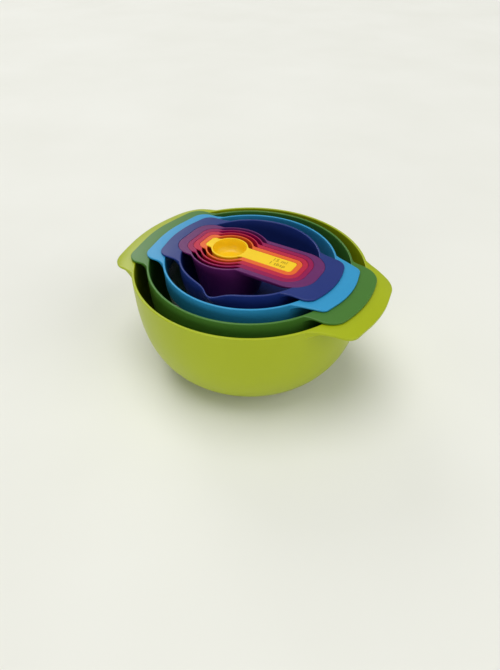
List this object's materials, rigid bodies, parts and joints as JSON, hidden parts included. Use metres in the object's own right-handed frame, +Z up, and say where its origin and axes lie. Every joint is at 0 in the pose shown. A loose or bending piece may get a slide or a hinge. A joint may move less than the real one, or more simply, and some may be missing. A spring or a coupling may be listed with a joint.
{
  "type": "nesting bowl and measuring cup set",
  "caption": "Mixing bowl with a colander, sieve, spouted measuring bowl and measuring cups nested inside one another, all with flat side handles.",
  "frame": {"origin": "on the floor, under the middle of the large bowl", "axes": "+X towards the long handles, +Z up, the measuring bowl's spout on -Y"},
  "size_m": [0.3092, 0.2662, 0.1365],
  "materials": {
    "lime": "satin",
    "green": "satin",
    "sky_blue": "satin",
    "indigo": "satin",
    "purple": "satin",
    "magenta": "satin",
    "red": "satin",
    "orange": "satin",
    "yellow": "satin",
    "steel_mesh": "woven",
    "pad_rubber": "matte",
    "dark_pad_rubber": "matte"
  },
  "bodies": {
    "large_bowl": {"large_mixing_bowl": "lime", "large_bowl_nonslip_pad": "pad_rubber"},
    "colander": {"colander": "green"},
    "sieve": {"sieve_frame": "sky_blue", "sieve_mesh": "steel_mesh"},
    "measuring_bowl": {"measuring_bowl": "indigo", "measuring_bowl_nonslip_pad": "dark_pad_rubber"},
    "cup_250ml": {"measuring_cup_250ml": "purple"},
    "cup_125ml": {"measuring_cup_125ml": "magenta"},
    "cup_85ml": {"measuring_cup_85ml": "red"},
    "cup_60ml": {"measuring_cup_60ml": "orange"},
    "cup_15ml": {"measuring_cup_15ml": "yellow"}
  },
  "joints": [
    {"name": "colander_lift", "type": "slide", "parent": "large_bowl", "child": "colander", "axis": [0, 0, 1], "range_m": [0, 0.12]},
    {"name": "sieve_lift", "type": "slide", "parent": "colander", "child": "sieve", "axis": [0, 0, 1], "range_m": [0, 0.085]},
    {"name": "measuring_bowl_lift", "type": "slide", "parent": "sieve", "child": "measuring_bowl", "axis": [0, 0, 1], "range_m": [0, 0.065]},
    {"name": "cup_250ml_lift", "type": "slide", "parent": "measuring_bowl", "child": "cup_250ml", "axis": [0, 0, 1], "range_m": [0, 0.06]},
    {"name": "cup_125ml_lift", "type": "slide", "parent": "cup_250ml", "child": "cup_125ml", "axis": [0, 0, 1], "range_m": [0, 0.045]},
    {"name": "cup_85ml_lift", "type": "slide", "parent": "cup_125ml", "child": "cup_85ml", "axis": [0, 0, 1], "range_m": [0, 0.04]},
    {"name": "cup_60ml_lift", "type": "slide", "parent": "cup_85ml", "child": "cup_60ml", "axis": [0, 0, 1], "range_m": [0, 0.036]},
    {"name": "cup_15ml_lift", "type": "slide", "parent": "cup_60ml", "child": "cup_15ml", "axis": [0, 0, 1], "range_m": [0, 0.02]}
  ]
}
